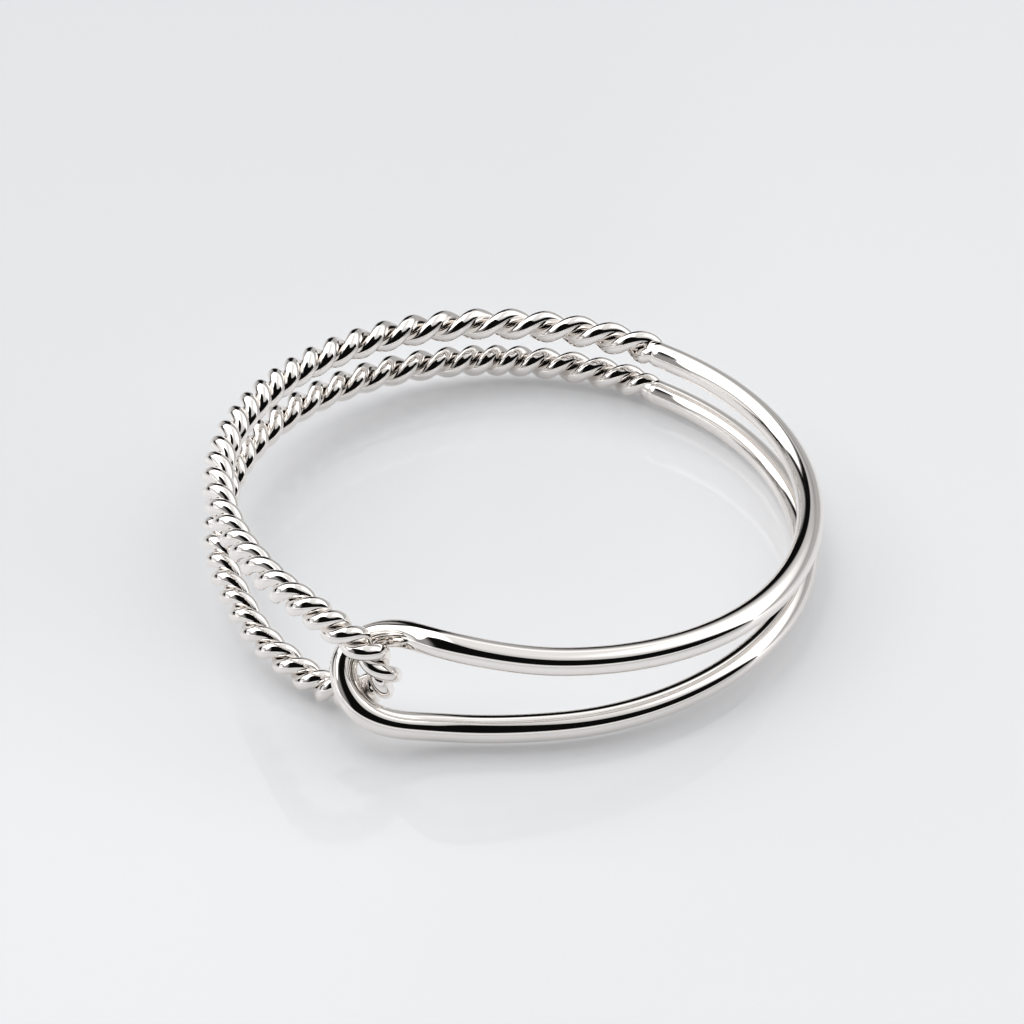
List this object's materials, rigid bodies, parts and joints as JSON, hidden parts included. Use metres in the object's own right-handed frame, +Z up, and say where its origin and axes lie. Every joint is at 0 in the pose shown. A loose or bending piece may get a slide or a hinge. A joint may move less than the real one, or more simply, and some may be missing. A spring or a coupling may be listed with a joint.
{
  "type": "rope twist ring",
  "caption": "Finger ring whose smooth wire half, folded double, hooks through a folded twisted rope half at an open link and is soldered to it at the back.",
  "frame": {"origin": "middle of the finger hole, on the surface that the ring lies on", "axes": "+Z up out of the finger hole, +Y towards the two solder joints at the back, -Y towards the link, +X towards the middle of the smooth half"},
  "size_m": [0.02, 0.0212, 0.005],
  "materials": {
    "polished_silver": "mirror-polished sterling silver"
  },
  "bodies": {
    "root": {"ring": "polished_silver"}
  },
  "joints": []
}
